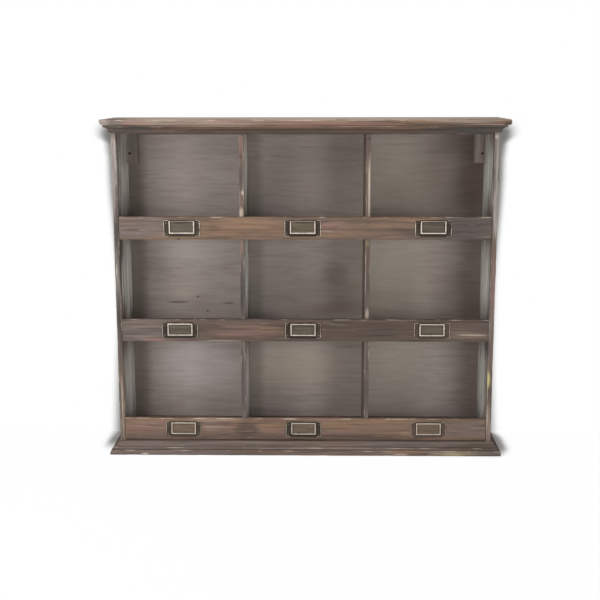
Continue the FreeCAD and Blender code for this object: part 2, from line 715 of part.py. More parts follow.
make_crown_and_base()
make_case()
for row in range(len(ROWS)):
    for column in range(len(COLUMNS)):
        make_label_holder(row, column)
document.recompute()


# Checks and the files

def check_document():
    """Stops on a failed feature, a broken solid or a pocket that cuts nothing."""
    for feature in document.Objects:
        if "Invalid" in feature.State or "Error" in feature.State:
            raise RuntimeError(f"{feature.Label} failed: {feature.State}")
    for feature in pockets:
        if feature.Shape.Volume >= feature.BaseFeature.Shape.Volume:
            raise RuntimeError(f"{feature.Label} of {feature.getParentGeoFeatureGroup().Label} cuts nothing")
    for label, node in nodes.items():
        shape = node.Shape
        if shape.isNull() or not shape.isValid() or not shape.Solids:
            raise RuntimeError(f"{label} has no valid solid")


check_document()
os.makedirs("parts", exist_ok=True)
for label, node in nodes.items():
    node.Shape.exportStep(f"parts/{label}.step")
whole = Part.makeCompound([node.Shape for node in nodes.values()]).BoundBox
print(f"{len(nodes)} nodes, {whole.XLength:.1f} x {whole.YLength:.1f} x {whole.ZLength:.1f} mm")
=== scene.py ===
"""Dresses the wall cubby: worn boards, a thin grained back, stamped brass label
holders and soft light. Metres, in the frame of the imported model."""

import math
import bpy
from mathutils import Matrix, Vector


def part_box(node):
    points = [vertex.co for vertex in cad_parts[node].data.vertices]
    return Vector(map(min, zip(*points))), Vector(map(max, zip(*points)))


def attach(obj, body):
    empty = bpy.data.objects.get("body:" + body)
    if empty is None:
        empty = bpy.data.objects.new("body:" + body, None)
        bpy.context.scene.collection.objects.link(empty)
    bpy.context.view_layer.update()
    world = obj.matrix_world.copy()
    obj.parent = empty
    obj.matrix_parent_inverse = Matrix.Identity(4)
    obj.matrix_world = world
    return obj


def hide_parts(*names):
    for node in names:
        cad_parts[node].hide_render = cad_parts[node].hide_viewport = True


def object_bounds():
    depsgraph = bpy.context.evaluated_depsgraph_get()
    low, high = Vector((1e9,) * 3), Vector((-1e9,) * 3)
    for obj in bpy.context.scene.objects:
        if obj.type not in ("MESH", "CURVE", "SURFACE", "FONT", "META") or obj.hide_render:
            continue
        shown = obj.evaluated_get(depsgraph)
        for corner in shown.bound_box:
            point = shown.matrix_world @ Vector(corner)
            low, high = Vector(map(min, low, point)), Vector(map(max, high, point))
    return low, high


bl_info = {
    "name": "Wall Cubby",
    "version": (1, 0, 0),
    "blender": (4, 5, 0),
    "location": "3D View > Sidebar > Cubby",
    "description": "Dresses a rustic wall cubby in worn boards and stamped brass",
    "category": "Object",
}

import bmesh
import bpy
from bpy.props import FloatProperty, FloatVectorProperty, PointerProperty
from mathutils import Matrix, Vector, noise

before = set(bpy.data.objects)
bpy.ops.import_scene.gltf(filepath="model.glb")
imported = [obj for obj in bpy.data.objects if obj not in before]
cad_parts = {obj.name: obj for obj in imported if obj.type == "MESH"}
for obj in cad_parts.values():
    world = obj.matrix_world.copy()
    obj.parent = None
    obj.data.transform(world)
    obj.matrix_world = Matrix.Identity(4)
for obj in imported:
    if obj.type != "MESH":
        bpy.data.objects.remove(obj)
CAD_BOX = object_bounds()

ROWS = ("bottom", "middle", "top")
COLUMNS = ("left", "centre", "right")
CELLS = [f"{row}_{column}" for row in ROWS for column in COLUMNS]
SIDES = ("left", "right")
X, Y, Z = 0, 1, 2
MM = 0.001
WHITE = (1, 1, 1, 1)
WEAR_LAYER = "wear"


# Sizes and colours that a user would change

def tone(red, green, blue):
    """A screen colour, 0 to 255, in linear light by the sRGB curve."""
    linear = []
    for level in (red / 255, green / 255, blue / 255):
        linear.append(((level + 0.055) / 1.055) ** 2.4 if level > 0.04045 else level / 12.92)
    return (*linear, 1.0)


def paint(name, description, red, green, blue):
    """A colour that the user can change."""
    return FloatVectorProperty(
        name=name, description=description, subtype="COLOR", size=4, min=0, max=1,
        default=tone(red, green, blue),
    )


def length(name, description, millimetres):
    """A length that the user can change."""
    return FloatProperty(
        name=name, description=description, unit="LENGTH", min=0,
        default=millimetres * MM,
    )


def power(name, lamp, watts):
    """The power of a lamp, which the user can change."""
    return FloatProperty(name=name, description=f"Watts of the {lamp}", default=watts, min=0)


class CubbyWear(bpy.types.PropertyGroup):
    """How far use has taken the boards down."""

    skin: length("Skin", "How far worn faces lie under the new ones", 0.15)
    arris: length("Arris", "Rounding of the exposed edges", 1.1)
    fade: length("Fade", "Width of the rubbed band beside an edge", 2.4)
    step: length("Step", "Spacing of the places where an edge may wander", 9)
    dent: length("Dent", "Depth of the dents along the edges", 1.5)
    ripple: length("Ripple", "Unevenness of the hand-planed faces", 0.18)


class CubbyColours(bpy.types.PropertyGroup):
    """Colours of the wood, of its wear and of the metal."""

    tan: paint("Tan", "Light brown wood", 140, 122, 108)
    umber: paint("Umber", "Mid brown wood", 103, 85, 73)
    ochre: paint("Ochre", "Orange brown wood", 126, 99, 78)
    rose: paint("Rose", "Reddish wash", 126, 98, 88)
    pink: paint("Pink", "Traces of an old red paint", 138, 99, 94)
    mauve: paint("Mauve", "Grey purple wash", 107, 94, 89)
    soot: paint("Soot", "Dark grey wash", 76, 68, 64)
    sepia: paint("Sepia", "Dark brown wash", 78, 63, 55)
    sage: paint("Sage", "Grey green wash inside the case", 216, 214, 206)
    # Moss also makes painted shade in the windows of the label holders, along the bays of the back
    # panel and on the left hanging block. Dark also makes a painted shadow under the top bar of
    # each window, and grime with painted shadow round the foot of each frame. The grey Char colour
    # is painted shade under the cap and in the cove of the crown. Bone also makes painted light on
    # the top of the cap and low on the back panel.
    moss: paint("Moss", "Olive dirt under the label holders", 86, 80, 64)
    dark: paint("Dark", "Wax left in the grain", 50, 40, 35)
    char: paint("Char", "Grey dirt in the corners", 60, 57, 53)
    bone: paint("Bone", "Bare wood where edges have rubbed", 192, 177, 160)
    ply: paint("Ply", "Pale thin panel at the back", 174, 162, 155)
    smoke: paint("Smoke", "Darker clouds on the panel", 165, 152, 146)
    straw: paint("Straw", "Yellowish filler", 188, 178, 120)
    # Brass is the rubbed colour, near white, and partly stands as painted highlight on the raised
    # parts of the label holders.
    brass: paint("Brass", "Rubbed brass", 218, 206, 191)
    bronze: paint("Bronze", "Dark antique brass", 52, 42, 32)
    verdigris: paint("Verdigris", "Greenish bloom on the brass", 66, 59, 43)
    steel: paint("Steel", "Darkened nails", 54, 46, 42)
    # Paper also serves as painted light on the back panel.
    paper: paint("Paper", "Floor and backdrop", 250, 250, 250)
    shade: paint("Shade", "Soft shadow beside the cubby", 106, 104, 100)


class CubbyLight(bpy.types.PropertyGroup):
    """The studio."""

    left_power: power("Left", "near soft box on the left", 3.5)
    right_power: power("Right", "near soft box on the right", 1.9)
    far_power: power("Far", "far soft box on the right", 8.6)
    high_power: power("High", "soft box high on the left", 4.6)
    top_power: power("Top", "soft box overhead", 5)
    room: FloatProperty(
        name="Room", description="Level of the light from all round", default=0.2, min=0
    )
    box_size: length("Soft box", "Width of the soft boxes", 600)


# Stains of the wood, in millimetres, and in some places painted light or shade, as said at each.
# A group has a depth, a reach in depth and stains. A stain has an x, a z, a reach in x and in z, a
# colour and a strength, and lies over the ones before it.

STAINS = {}
STAINS["cap_board"] = (
    # Painted light: the bone band over the whole top face of the cap stands for the light from
    # above.
    (0, 110, (0, 561, 600, 3.5, "bone", 0.95)),
    (-68, 30, (-140, 558, 70, 6, "tan", 0.8), (255, 558, 60, 6, "tan", 0.9),
     (-30, 554, 70, 4, "rose", 0.9), (-120, 556, 40, 2, "pink", 0.5), (80, 554, 60, 4, "pink", 0.5),
     (60, 552, 100, 2, "rose", 0.9), (215, 553, 60, 3, "umber", 0.8),
     (-272, 556, 24, 6, "rose", 0.6)),
    (-50, 60, (-306, 556, 26, 9, "mauve", 1)),
    (-68, 20, (-284, 553.5, 12, 3, "pink", 0.6)),
    # The grey Char mark at the right end is painted shade under the end of the cap.
    (-60, 30, (-324, 556, 12, 9, "smoke", 0.35), (324, 553, 10, 6, "char", 0.8)),
)
STAINS["base_board"] = (
    (-68, 30, (-200, 5, 150, 9, "mauve", 0.9), (-30, 4, 160, 9, "umber", 0.8)),
    (-68, 20, (0, 0, 340, 2, "sepia", 0.8)),
    (-68, 30, (210, 6, 80, 6, "tan", 0.7), (165, 6, 40, 5, "ochre", 1)),
    (-68, 20, (160, 3, 16, 2, "bone", 0.6), (265, 4, 45, 3, "straw", 0.45),
     (-270, 3, 8, 2, "bone", 0.8)),
    (-68, 60, (300, 4, 40, 8, "soot", 0.6)),
)
STAINS["crown_moulding"] = (
    (-62, 12, (-140, 550, 100, 2, "tan", 0.9), (60, 549, 110, 2, "rose", 0.9)),
    # Painted shade: the soot patch darkens the cove under the cap.
    (-60, 12, (-290, 545, 50, 8, "soot", 0.6)),
    (-60, 14, (40, 545, 260, 5, "ochre", 0.7)),
    (-56, 9, (0, 540, 400, 4, "sepia", 0.8)),
    (-58, 12, (20, 543.3, 330, 2.4, "dark", 0.75)),
    # Painted shade: the grey Char ends darken the cove under the ends of the cap.
    (-60, 16, (-295, 545, 60, 9, "char", 0.7), (285, 545, 90, 9, "char", 0.85)),
)
STAINS["base_moulding"] = (
    (-60, 12, (-230, 15, 120, 9, "mauve", 0.9)),
    (-63, 9, (0, 12, 130, 1.6, "tan", 0.9)),
    (-60, 12, (280, 16, 70, 9, "sepia", 0.7)),
)
STAINS["left_side"] = (
    (32, 84, (-304, 470, 5, 90, "sage", 0.85), (-304, 290, 5, 90, "sage", 1),
     (-304, 110, 5, 90, "sage", 0.85)),
    (20, 44, (-304, 500, 5, 30, "moss", 0.35)),
    (-52, 5, (-310, 515, 7, 22, "sage", 0.35), (-307, 520, 1, 14, "bone", 0.9),
     (-312.5, 524, 1, 8, "bone", 0.9), (-305.2, 524, 1.4, 14, "dark", 0.9),
     (-311, 470, 6, 60, "sage", 0.3), (-307, 490, 2, 8, "bone", 0.8),
     (-311, 300, 6, 50, "sage", 0.4)),
    # Painted shadow: the umber patch is the shadow of the lip above on the inner face.
    (-30, 18, (-304, 345, 4, 22, "umber", 0.6)),
    (-52, 5, (-311, 180, 7, 500, "soot", 0.75), (-310, 75, 7, 70, "tan", 0.5),
     (-314, 300, 2, 40, "dark", 0.7), (-311, 312, 1.5, 14, "bone", 0.7),
     (-310, 470, 8, 70, "smoke", 0.4), (-306.5, 110, 2.2, 85, "ochre", 0.7),
     (-308.5, 80, 0.8, 60, "bone", 0.55), (-312.5, 130, 1.4, 100, "moss", 0.6)),
)
STAINS["right_side"] = (
    (32, 84, (304, 470, 5, 90, "sage", 0.95), (304, 290, 5, 90, "sage", 1),
     (304, 110, 5, 90, "sage", 0.95)),
    (-52, 5, (309, 512, 8, 24, "soot", 0.7), (308.5, 532, 3, 3, "bone", 1),
     (311, 490, 6, 60, "sage", 0.3), (311, 420, 6, 60, "sage", 0.5)),
    (-52, 4, (314, 460, 2, 90, "soot", 0.7)),
    (-52, 5, (310, 290, 9, 500, "umber", 0.22)),
    (-51, 14, (311, 300, 5, 50, "pink", 0.45)),
    (-52, 6, (307.5, 128, 4, 15, "straw", 1)),
    (-50, 10, (312, 60, 7, 40, "tan", 0.6)),
    (-52, 5, (309, 460, 8, 70, "smoke", 0.4), (306, 470, 1, 60, "dark", 0.5),
     (312.5, 95, 1.2, 50, "dark", 0.7), (307, 60, 1, 36, "bone", 0.6)),
)
STAINS["divider_left"] = (
    (0, 60, (-99, 480, 4, 90, "sage", 0.8), (-99, 300, 4, 90, "sage", 0.8),
     (-99, 110, 4, 90, "sage", 0.7)),
    (-52, 6, (-104, 520, 8, 20, "rose", 0.8)),
    (-52, 4, (-104, 500, 5, 5, "sepia", 0.9), (-101, 442, 3, 4, "bone", 1)),
    (-52, 6, (-105, 410, 5, 10, "bone", 0.7), (-103, 468, 6, 22, "soot", 0.7),
     (-103, 280, 9, 75, "soot", 0.85), (-105, 270, 5, 52, "dark", 0.5),
     (-105, 352, 5, 10, "rose", 0.7), (-103, 105, 9, 65, "soot", 0.8)),
)
STAINS["divider_right"] = (
    (0, 60, (99, 470, 4, 90, "mauve", 0.7), (99, 280, 4, 120, "mauve", 0.6)),
    (-52, 6, (103, 529, 9, 5, "sepia", 0.9), (105, 450, 3, 60, "bone", 0.8),
     (103, 275, 9, 70, "sepia", 0.55), (100, 295, 1.2, 60, "smoke", 0.7),
     (103, 242, 3, 8, "bone", 0.5), (103, 360, 5, 6, "straw", 0.3), (103, 110, 9, 60, "soot", 0.8)),
)
STAINS["lip_top"] = (
    (-52, 20, (-275, 384, 72, 24, "mauve", 0.9), (-285, 376, 60, 14, "soot", 0.25),
     (-125, 386, 60, 20, "ochre", 0.95), (-150, 386, 14, 7, "sepia", 0.35),
     (-275, 382, 26, 2, "sepia", 0.8), (-207, 366, 4, 3, "dark", 0.9),
     (-48, 382, 50, 18, "ochre", 0.5), (-138, 368, 30, 4, "moss", 0.4),
     (48, 388, 24, 10, "rose", 0.9), (125, 384, 64, 24, "umber", 0.6),
     (190, 378, 50, 16, "soot", 0.5), (272, 384, 80, 30, "soot", 0.95)),
)
STAINS["lip_middle"] = (
    (-52, 20, (20, 213, 380, 40, "sepia", 0.8), (-262, 214, 70, 24, "mauve", 0.75),
     (-262, 200, 60, 6, "soot", 0.35), (-268, 202, 36, 3, "bone", 0.1),
     (-250, 197, 20, 4, "pink", 0.6), (-135, 195, 40, 1.5, "bone", 0.45),
     (-95, 212, 60, 14, "rose", 0.6), (-58, 214, 26, 7, "ochre", 0.8),
     (90, 220, 150, 15, "sepia", 0.85), (190, 228, 120, 6, "sepia", 0.7),
     (250, 204, 60, 9, "tan", 0.3), (278, 206, 24, 2, "bone", 0.5)),
)
STAINS["lip_bottom"] = (
    (-52, 20, (-262, 46, 50, 15, "rose", 0.9), (-142, 47, 36, 12, "rose", 0.8),
     (-158, 46, 18, 12, "tan", 0.6), (-150, 58, 50, 4, "bone", 0.2),
     (-99, 42, 24, 18, "sepia", 0.85), (-57, 48, 24, 12, "ochre", 1),
     (70, 50, 70, 10, "ochre", 0.7), (0, 27, 330, 8, "sepia", 0.6),
     (270, 42, 50, 14, "mauve", 0.6)),
)
STAINS["top_rail"] = (
    (-52, 20, (0, 536, 330, 12, "sepia", 0.6)),
)
STAINS["base_rail"] = (
    (-52, 20, (0, 20, 330, 12, "sepia", 0.6)),
)
# Painted light and shade on the back panel: the long moss bands at x -300 and -92 and the umber
# band at 302 are painted shade beside the sides and dividers, and the paper and bone patches at z
# 125 and the paper patch at z 330 are painted light at the tops of the lower bays.
STAINS["back_panel"] = (
    (62, 4.2, (0, 470, 110, 90, "umber", 0.24), (260, 470, 80, 120, "umber", 0.5),
     (262, 520, 56, 36, "sepia", 0.35), (165, 480, 90, 90, "moss", 0.26),
     (150, 300, 60, 60, "moss", 0.2), (240, 300, 60, 60, "umber", 0.2),
     (10, 490, 100, 50, "moss", 0.14), (30, 300, 90, 60, "moss", 0.12),
     (165, 110, 70, 70, "moss", 0.14), (285, 450, 40, 40, "umber", 0.5),
     (40, 250, 90, 50, "umber", 0.3), (270, 240, 60, 70, "umber", 0.3),
     (-190, 125, 90, 55, "paper", 0.2), (-20, 125, 100, 45, "bone", 0.6),
     (-190, 330, 90, 30, "paper", 0.12), (150, 300, 70, 300, "sage", 0.2),
     (150, 300, 80, 300, "straw", 0.14), (-70, 300, 40, 300, "sage", 0.12),
     (-40, 300, 70, 70, "moss", 0.18), (-300, 290, 26, 600, "moss", 0.6),
     (-92, 290, 20, 600, "moss", 0.4), (302, 290, 34, 600, "umber", 0.5),
     (-262, 310, 30, 45, "moss", 0.2), (-213, 256, 28, 9, "bone", 0.35),
     (-226, 239, 20, 2.4, "sepia", 0.6), (-136, 237, 12, 2, "umber", 0.7),
     (-190, 248, 3, 2, "sepia", 0.7), (-173, 223, 2, 2, "dark", 0.8),
     (50, 291, 26, 20, "mauve", 0.4), (45, 228, 60, 12, "ochre", 0.3)),
)
# Part of the painted shade of the left hanging block, which has a darker copy of the block wood.
STAINS["hanging_block_left"] = (
    (42, 60, (-296, 515, 60, 120, "sage", 0.15)),
)


# Shader sums

class Wire:
    """The output of a shader node, which does sums."""

    def __init__(self, finish, socket):
        self.finish = finish
        self.socket = socket

    def __add__(self, other):
        return self.finish.sum("ADD", self, other)

    __radd__ = __add__

    def __sub__(self, other):
        return self.finish.sum("SUBTRACT", self, other)

    def __rsub__(self, other):
        return self.finish.sum("SUBTRACT", other, self)

    def __mul__(self, other):
        return self.finish.sum("MULTIPLY", self, other)

    __rmul__ = __mul__


class Finish:
    """A material and the nodes that it is made of."""

    PATCH_CORE = 0.35
    PATCH_END = 1.25

    def __init__(self, name):
        self.material = bpy.data.materials.new(name)
        self.material.use_nodes = True
        self.tree = self.material.node_tree
        self.tree.nodes.clear()
        self.place = self.add("TexCoord", output="Object")

    def add(self, kind, settings=None, inputs=None, output=0):
        """Any node: its settings first, then the values or links of its sockets."""
        node = self.tree.nodes.new(f"ShaderNode{kind}")
        for name, setting in (settings or {}).items():
            setattr(node, name, setting)
        for name, given in (inputs or {}).items():
            if isinstance(given, Wire):
                self.tree.links.new(given.socket, node.inputs[name])
            else:
                node.inputs[name].default_value = given
        return Wire(self, node.outputs[output])

    def sum(self, operation, *values):
        """A sum of one or two values."""
        return self.add("Math", {"operation": operation}, dict(enumerate(values)))

    def vector(self, operation, left, right):
        """A sum of two vectors."""
        return self.add("VectorMath", {"operation": operation}, {0: left, 1: right})

    def axis(self, name):
        """One coordinate of the place."""
        return self.add("SeparateXYZ", inputs={0: self.place}, output="xyz".index(name))

    def noise(self, density, shift, detail=3, roughness=0.6):
        """Cloudy noise, from 0 to 1, with its own density along each axis."""
        place = self.vector("MULTIPLY", self.place, density)
        place = self.vector("ADD", place, (shift, shift * 0.7, shift * 1.3))
        return self.add(
            "TexNoise",
            inputs={"Vector": place, "Scale": 1.0, "Detail": detail, "Roughness": roughness},
        )

    def rubbed(self):
        """How rubbed the mesh is at the place."""
        return self.add("Attribute", {"attribute_name": WEAR_LAYER}, output="Fac")

    def step(self, given, low, high):
        """0 below low, 1 above high and smooth between."""
        settings = {"interpolation_type": "SMOOTHSTEP"}
        return self.add("MapRange", settings, {0: given, 1: low, 2: high})

    def mix(self, under, over, share):
        """One colour over another."""
        return self.add("Mix", {"data_type": "RGBA"}, {0: share, 6: under, 7: over}, 2)

    def shade(self, colour, level):
        """A colour made lighter or darker."""
        return self.add("VectorMath", {"operation": "SCALE"}, {0: colour, "Scale": level})

    def patch(self, centre, reach, edge):
        """A soft patch about a place, its outline broken by the edge noise."""
        offset = self.vector("DIVIDE", self.vector("SUBTRACT", self.place, centre), reach)
        distance = self.add("VectorMath", {"operation": "LENGTH"}, {0: offset}, 1)
        return self.step(distance + edge, self.PATCH_END, self.PATCH_CORE)

    def surface(self, colour, roughness, height, relief, metallic=0.0, specular=0.4):
        """The shader and the output."""
        bump = self.add("Bump", inputs={"Distance": relief, "Height": height})
        shader = self.add(
            "BsdfPrincipled",
            inputs={
                "Base Color": colour, "Roughness": roughness, "Metallic": metallic,
                "Specular IOR Level": specular, "Normal": bump,
            },
        )
        self.add_output(shader)
        return self.material

    def add_output(self, shader):
        """Where the shader goes."""
        node = self.tree.nodes.new("ShaderNodeOutputMaterial")
        self.tree.links.new(shader.socket, node.inputs["Surface"])


RING_DENSITY = 520  # radians of a growth ring's wave to a metre across the grain
RING_BEND = 34
GRAIN_RELIEF = 0.25 * MM
METAL_RELIEF = 0.05 * MM


def wood(
    name, grain, tones, stains=(), rings=0.2, streaks=0.36, wear=1.0, broken=1.6, seed=0.0,
    fine=1.0,
):
    """Weathered wood. Broken says how ragged the outlines of the stains are, and fine
    how narrow the washes."""
    colours = bpy.context.scene.cubby_colours
    finish = Finish(name)

    def pattern(shift, with_grain, across, detail=3, roughness=0.6):
        """Noise drawn out along the grain, shifted so that no two run together."""
        density = tuple(with_grain if axis == grain else across for axis in "xyz")
        return finish.noise(density, seed + shift, detail, roughness)

    wash = pattern(0, 6 * fine, 50 * fine)
    other_wash = pattern(5.1, 4 * fine, 34 * fine)
    first, second, third = (getattr(colours, key) for key in tones)
    colour = finish.mix(first, second, finish.step(wash, 0.38, 0.64))
    colour = finish.mix(colour, third, finish.step(other_wash, 0.48, 0.68) * 0.75)
    edge = (pattern(2.2, 16, 110) - 0.5) * broken
    for y, depth, *spots in stains:
        for x, z, wide, high, key, strength in spots:
            centre = tuple(part * MM for part in (x, y, z))
            reach = tuple(part * MM for part in (wide, depth, high))
            mask = finish.patch(centre, reach, edge) * strength
            colour = finish.mix(colour, getattr(colours, key), mask)
    bend = pattern(9.4, 3.5, 26, 2, 0.5)
    first_across, second_across = [axis for axis in "xyz" if axis != grain]
    across = finish.axis(first_across) * 0.8 + finish.axis(second_across)
    ring = finish.sum("SINE", across * RING_DENSITY + bend * RING_BEND)
    band = pattern(8.2, 5 * fine, 130 * fine, roughness=0.65)
    streak = pattern(1.7, 10 * fine, 360, roughness=0.65)
    fibre = pattern(3.3, 60, 1100, 2)
    late_wood = finish.step(ring, 0.1, 1.0) * finish.step(wash, 0.3, 0.6)
    level = 1.06 - late_wood * rings + (band - 0.5) * (streaks * 2) + (streak - 0.5) * (streaks * 4)
    colour = finish.shade(colour, level + (fibre - 0.5) * 0.24)
    pore = finish.step(pattern(6.6, 9, 300, roughness=0.7), 0.55, 0.72)
    colour = finish.mix(colour, colours.dark, pore * (streaks * 1.7))
    scuff = finish.step(pattern(7.8, 20, 330, 2), 0.64, 0.76)
    colour = finish.mix(colour, colours.bone, scuff * (0.3 * wear))
    rubbed = finish.rubbed()
    patchy = pattern(4.4, 34, 150)
    bare = finish.step(rubbed * 0.5 + patchy, 1.0, 1.16) * wear
    colour = finish.mix(colour, colours.bone, bare)
    height = late_wood * -0.5 + streak + fibre * 0.5 - pore
    roughness = 0.62 + (streak - 0.5) * 0.3
    return finish.surface(colour, roughness, height, GRAIN_RELIEF)


# Mesh helpers

def new_board():
    """An empty mesh with a layer that says where it is rubbed."""
    board = bmesh.new()
    board.verts.layers.float.new(WEAR_LAYER)
    return board


def worn_box(node):
    """The corners of a CAD node, drawn in by the skin."""
    skin = bpy.context.scene.cubby_wear.skin
    low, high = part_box(node)
    return low + Vector((skin,) * 3), high - Vector((skin,) * 3)


def slab(low, high):
    """A block between two corners."""
    board = new_board()
    bmesh.ops.create_cube(board, size=1)
    bmesh.ops.scale(board, vec=high - low, verts=board.verts)
    bmesh.ops.translate(board, vec=(low + high) / 2, verts=board.verts)
    return board


def prism(corners, push):
    """A flat outline, thickened."""
    board = new_board()
    face = board.faces.new([board.verts.new(corner) for corner in corners])
    thicken(board, [face], push)
    return board


def vertices_in(parts):
    """The vertices among the parts of a mesh."""
    return [part for part in parts if isinstance(part, bmesh.types.BMVert)]


def thicken(board, faces, push):
    """Extrudes faces and moves them on."""
    grown = bmesh.ops.extrude_face_region(board, geom=faces)["geom"]
    bmesh.ops.translate(board, vec=push, verts=vertices_in(grown))
    bmesh.ops.recalc_face_normals(board, faces=board.faces)


def bisect(board, place, normal, **options):
    """Cuts a board along a plane."""
    parts = board.verts[:] + board.edges[:] + board.faces[:]
    bmesh.ops.bisect_plane(board, geom=parts, plane_co=place, plane_no=normal, **options)


def cut_at(board, axis, places):
    """Cuts lines across a board."""
    normal = Vector([1.0 if index == axis else 0.0 for index in range(3)])
    for place in places:
        bisect(board, normal * place, normal)


def reach_of(board, axis):
    """Lowest and highest place of a board along an axis."""
    places = [vertex.co[axis] for vertex in board.verts]
    return min(places), max(places)


NARROWEST = 2.5  # a board narrower than so many rubbed bands isn't scored for them
SHARP = 0.7  # radians
ALONG = 0.9  # how much of an edge or a normal lies along an axis, to count as along it
RIPPLE_DENSITY = 26  # to the metre, as the other two
DENT_DENSITY = 60
CHIP_DENSITY = 210
CHIP_SHARE = 0.25
DENT_START = 0.12
LOW_WEAR = 0.6


def score(board, run, ends=False):
    """Cuts a board all along its run, and beside its edges. Ends says to cut beside
    the ends of the run too."""
    wear = bpy.context.scene.cubby_wear
    for axis in (X, Y, Z):
        low, high = reach_of(board, axis)
        if axis in run:
            steps = max(2, round((high - low) / wear.step))
            cut_at(board, axis, [low + (high - low) * step / steps for step in range(1, steps)])
        if (ends or axis not in run) and high - low > NARROWEST * wear.fade:
            cut_at(board, axis, [low + wear.fade, high - wear.fade])


def ease(board, exposed, width=None):
    """Rounds the exposed sharp edges and marks them as rubbed."""
    wear = bpy.context.scene.cubby_wear
    layer = board.verts.layers.float[WEAR_LAYER]
    chosen = []
    for edge in board.edges:
        if len(edge.link_faces) == 2 and edge.calc_face_angle() > SHARP:
            middle = (edge.verts[0].co + edge.verts[1].co) / 2
            line = (edge.verts[1].co - edge.verts[0].co).normalized()
            if exposed(middle, line):
                chosen.append(edge)
    eased = bmesh.ops.bevel(
        board, geom=chosen, offset=width or wear.arris, segments=2, profile=0.5,
        affect="EDGES", material=-1, clamp_overlap=True,
    )
    for vertex in eased["verts"]:
        vertex[layer] = 1.0


def ease_front(board, front):
    """Rounds the upright edges at the front."""
    ease(board, lambda middle, line: abs(line.z) > ALONG and middle.y < front + MM)


def weather(board, seed):
    """Sinks the faces a little and the rubbed edges more, never outwards."""
    wear = bpy.context.scene.cubby_wear
    layer = board.verts.layers.float[WEAR_LAYER]
    board.normal_update()
    shift = Vector((seed, seed * 1.7, seed * 0.6))
    for vertex in board.verts:
        ripple = 0.5 + 0.5 * noise.noise(vertex.co * RIPPLE_DENSITY + shift)
        chip = CHIP_SHARE * noise.noise(vertex.co * CHIP_DENSITY)
        dent = max(0.0, noise.noise(vertex.co * DENT_DENSITY + shift) + chip - DENT_START)
        depth = wear.ripple * ripple + wear.dent * dent * vertex[layer]
        vertex.co -= vertex.normal * depth


def fade_low_arris(board):
    """Less wear on the lower half, where hands don't reach."""
    layer = board.verts.layers.float[WEAR_LAYER]
    low, high = reach_of(board, Z)
    for vertex in board.verts:
        if vertex.co.z < (low + high) / 2:
            vertex[layer] *= LOW_WEAR


def new_object(name, data):
    """An object in the scene."""
    made = bpy.data.objects.new(name, data)
    bpy.context.scene.collection.objects.link(made)
    return made


def mesh_object(name, form, material):
    """An object in the scene, from a form that it frees."""
    mesh = bpy.data.meshes.new(name)
    form.to_mesh(mesh)
    form.free()
    mesh.materials.append(material)
    return new_object(name, mesh)


def settle(form, node, material, how="worn", sharp=SHARP):
    """Makes the piece, on the body, in place of its node."""
    bmesh.ops.recalc_face_normals(form, faces=form.faces)
    piece = mesh_object(f"{how}_{node}", form, material)
    piece.data.shade_smooth()
    piece.data.set_sharp_from_angle(angle=sharp)
    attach(piece, "root")
    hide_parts(node)


def coat(node, material):
    """Gives a CAD node its finish."""
    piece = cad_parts[node]
    piece.data.materials.clear()
    piece.data.materials.append(material)


# The pieces

class CubbyPiece:
    """What the operators share."""

    bl_options = {"REGISTER", "UNDO"}

    def execute(self, context):
        self.make()
        return {"FINISHED"}


class MakeCapAndBase(CubbyPiece, bpy.types.Operator):
    """Make the overhanging boards on top and underneath"""

    bl_idname = "cubby.make_cap_and_base"
    bl_label = "Cap and Base"

    ARRIS = 1.5 * MM
    SLOPE = {"left": 4 * MM, "right": 2.5 * MM}

    def make(self):
        cap = wood("cap_wood", "x", ("tan", "ochre", "tan"), STAINS["cap_board"], seed=1.3)
        base = wood(
            "base_wood", "x", ("mauve", "umber", "tan"), STAINS["base_board"], wear=0.65, seed=2.9
        )
        for node, slot, finish, seed in (
            ("cap_board", "crown_wood", cap, 3.0), ("base_board", "base_wood", base, 8.0),
        ):
            low, high = worn_box(node)
            board = slab(low, high)
            score(board, (X, Y), ends=True)
            ease(board, lambda middle, line: high.y - middle.y > MM, self.ARRIS)
            fade_low_arris(board)
            self.slope_ends(board, low.z if node == "cap_board" else high.z)
            weather(board, seed)
            settle(board, node, finish)

    def slope_ends(self, board, inner_z):
        """Takes the corner off the ends, on the side of the case."""
        for vertex in board.verts:
            slope = self.SLOPE["left" if vertex.co.x < 0 else "right"]
            overhang = abs(vertex.co.x) - CAD_BOX[1].x + slope
            near = 1 - abs(vertex.co.z - inner_z) / slope
            if overhang > 0 and near > 0:
                vertex.co.x -= math.copysign(overhang * near, vertex.co.x)


